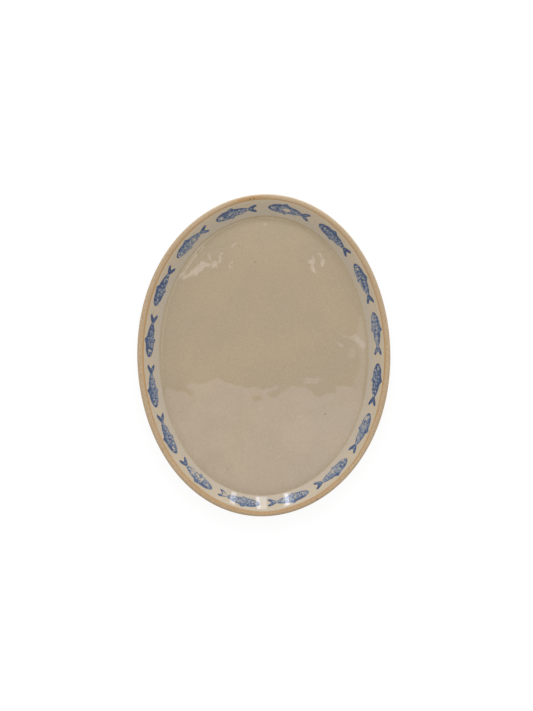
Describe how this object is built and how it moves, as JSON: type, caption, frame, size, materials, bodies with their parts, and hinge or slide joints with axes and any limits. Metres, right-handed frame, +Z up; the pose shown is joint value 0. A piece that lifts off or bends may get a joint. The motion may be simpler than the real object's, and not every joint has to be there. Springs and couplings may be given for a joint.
{
  "type": "oval serving platter",
  "caption": "Shallow oval stoneware platter with a bare clay rim, a turned foot ring and a glossy glazed well ringed by stamped blue fish.",
  "frame": {"origin": "on the table, under the middle of the oval", "axes": "+Y along the platter's length, +X across it, +Z up"},
  "size_m": [0.2044, 0.26, 0.018],
  "materials": {
    "stoneware": "bare fired clay, sandy and matt",
    "glaze": "glossy, slightly wavy greige glaze",
    "cobalt_stamp": "glossy cobalt blue under the glaze"
  },
  "bodies": {
    "root": {"stoneware_body": "stoneware", "glaze_lining": "glaze", "fish_stamp_01": "cobalt_stamp", "fish_stamp_02": "cobalt_stamp", "fish_stamp_03": "cobalt_stamp", "fish_stamp_04": "cobalt_stamp", "fish_stamp_05": "cobalt_stamp", "fish_stamp_06": "cobalt_stamp", "fish_stamp_07": "cobalt_stamp", "fish_stamp_08": "cobalt_stamp", "fish_stamp_09": "cobalt_stamp", "fish_stamp_10": "cobalt_stamp", "fish_stamp_11": "cobalt_stamp", "fish_stamp_12": "cobalt_stamp", "fish_stamp_13": "cobalt_stamp", "fish_stamp_14": "cobalt_stamp", "fish_stamp_15": "cobalt_stamp", "fish_stamp_16": "cobalt_stamp"}
  },
  "joints": []
}
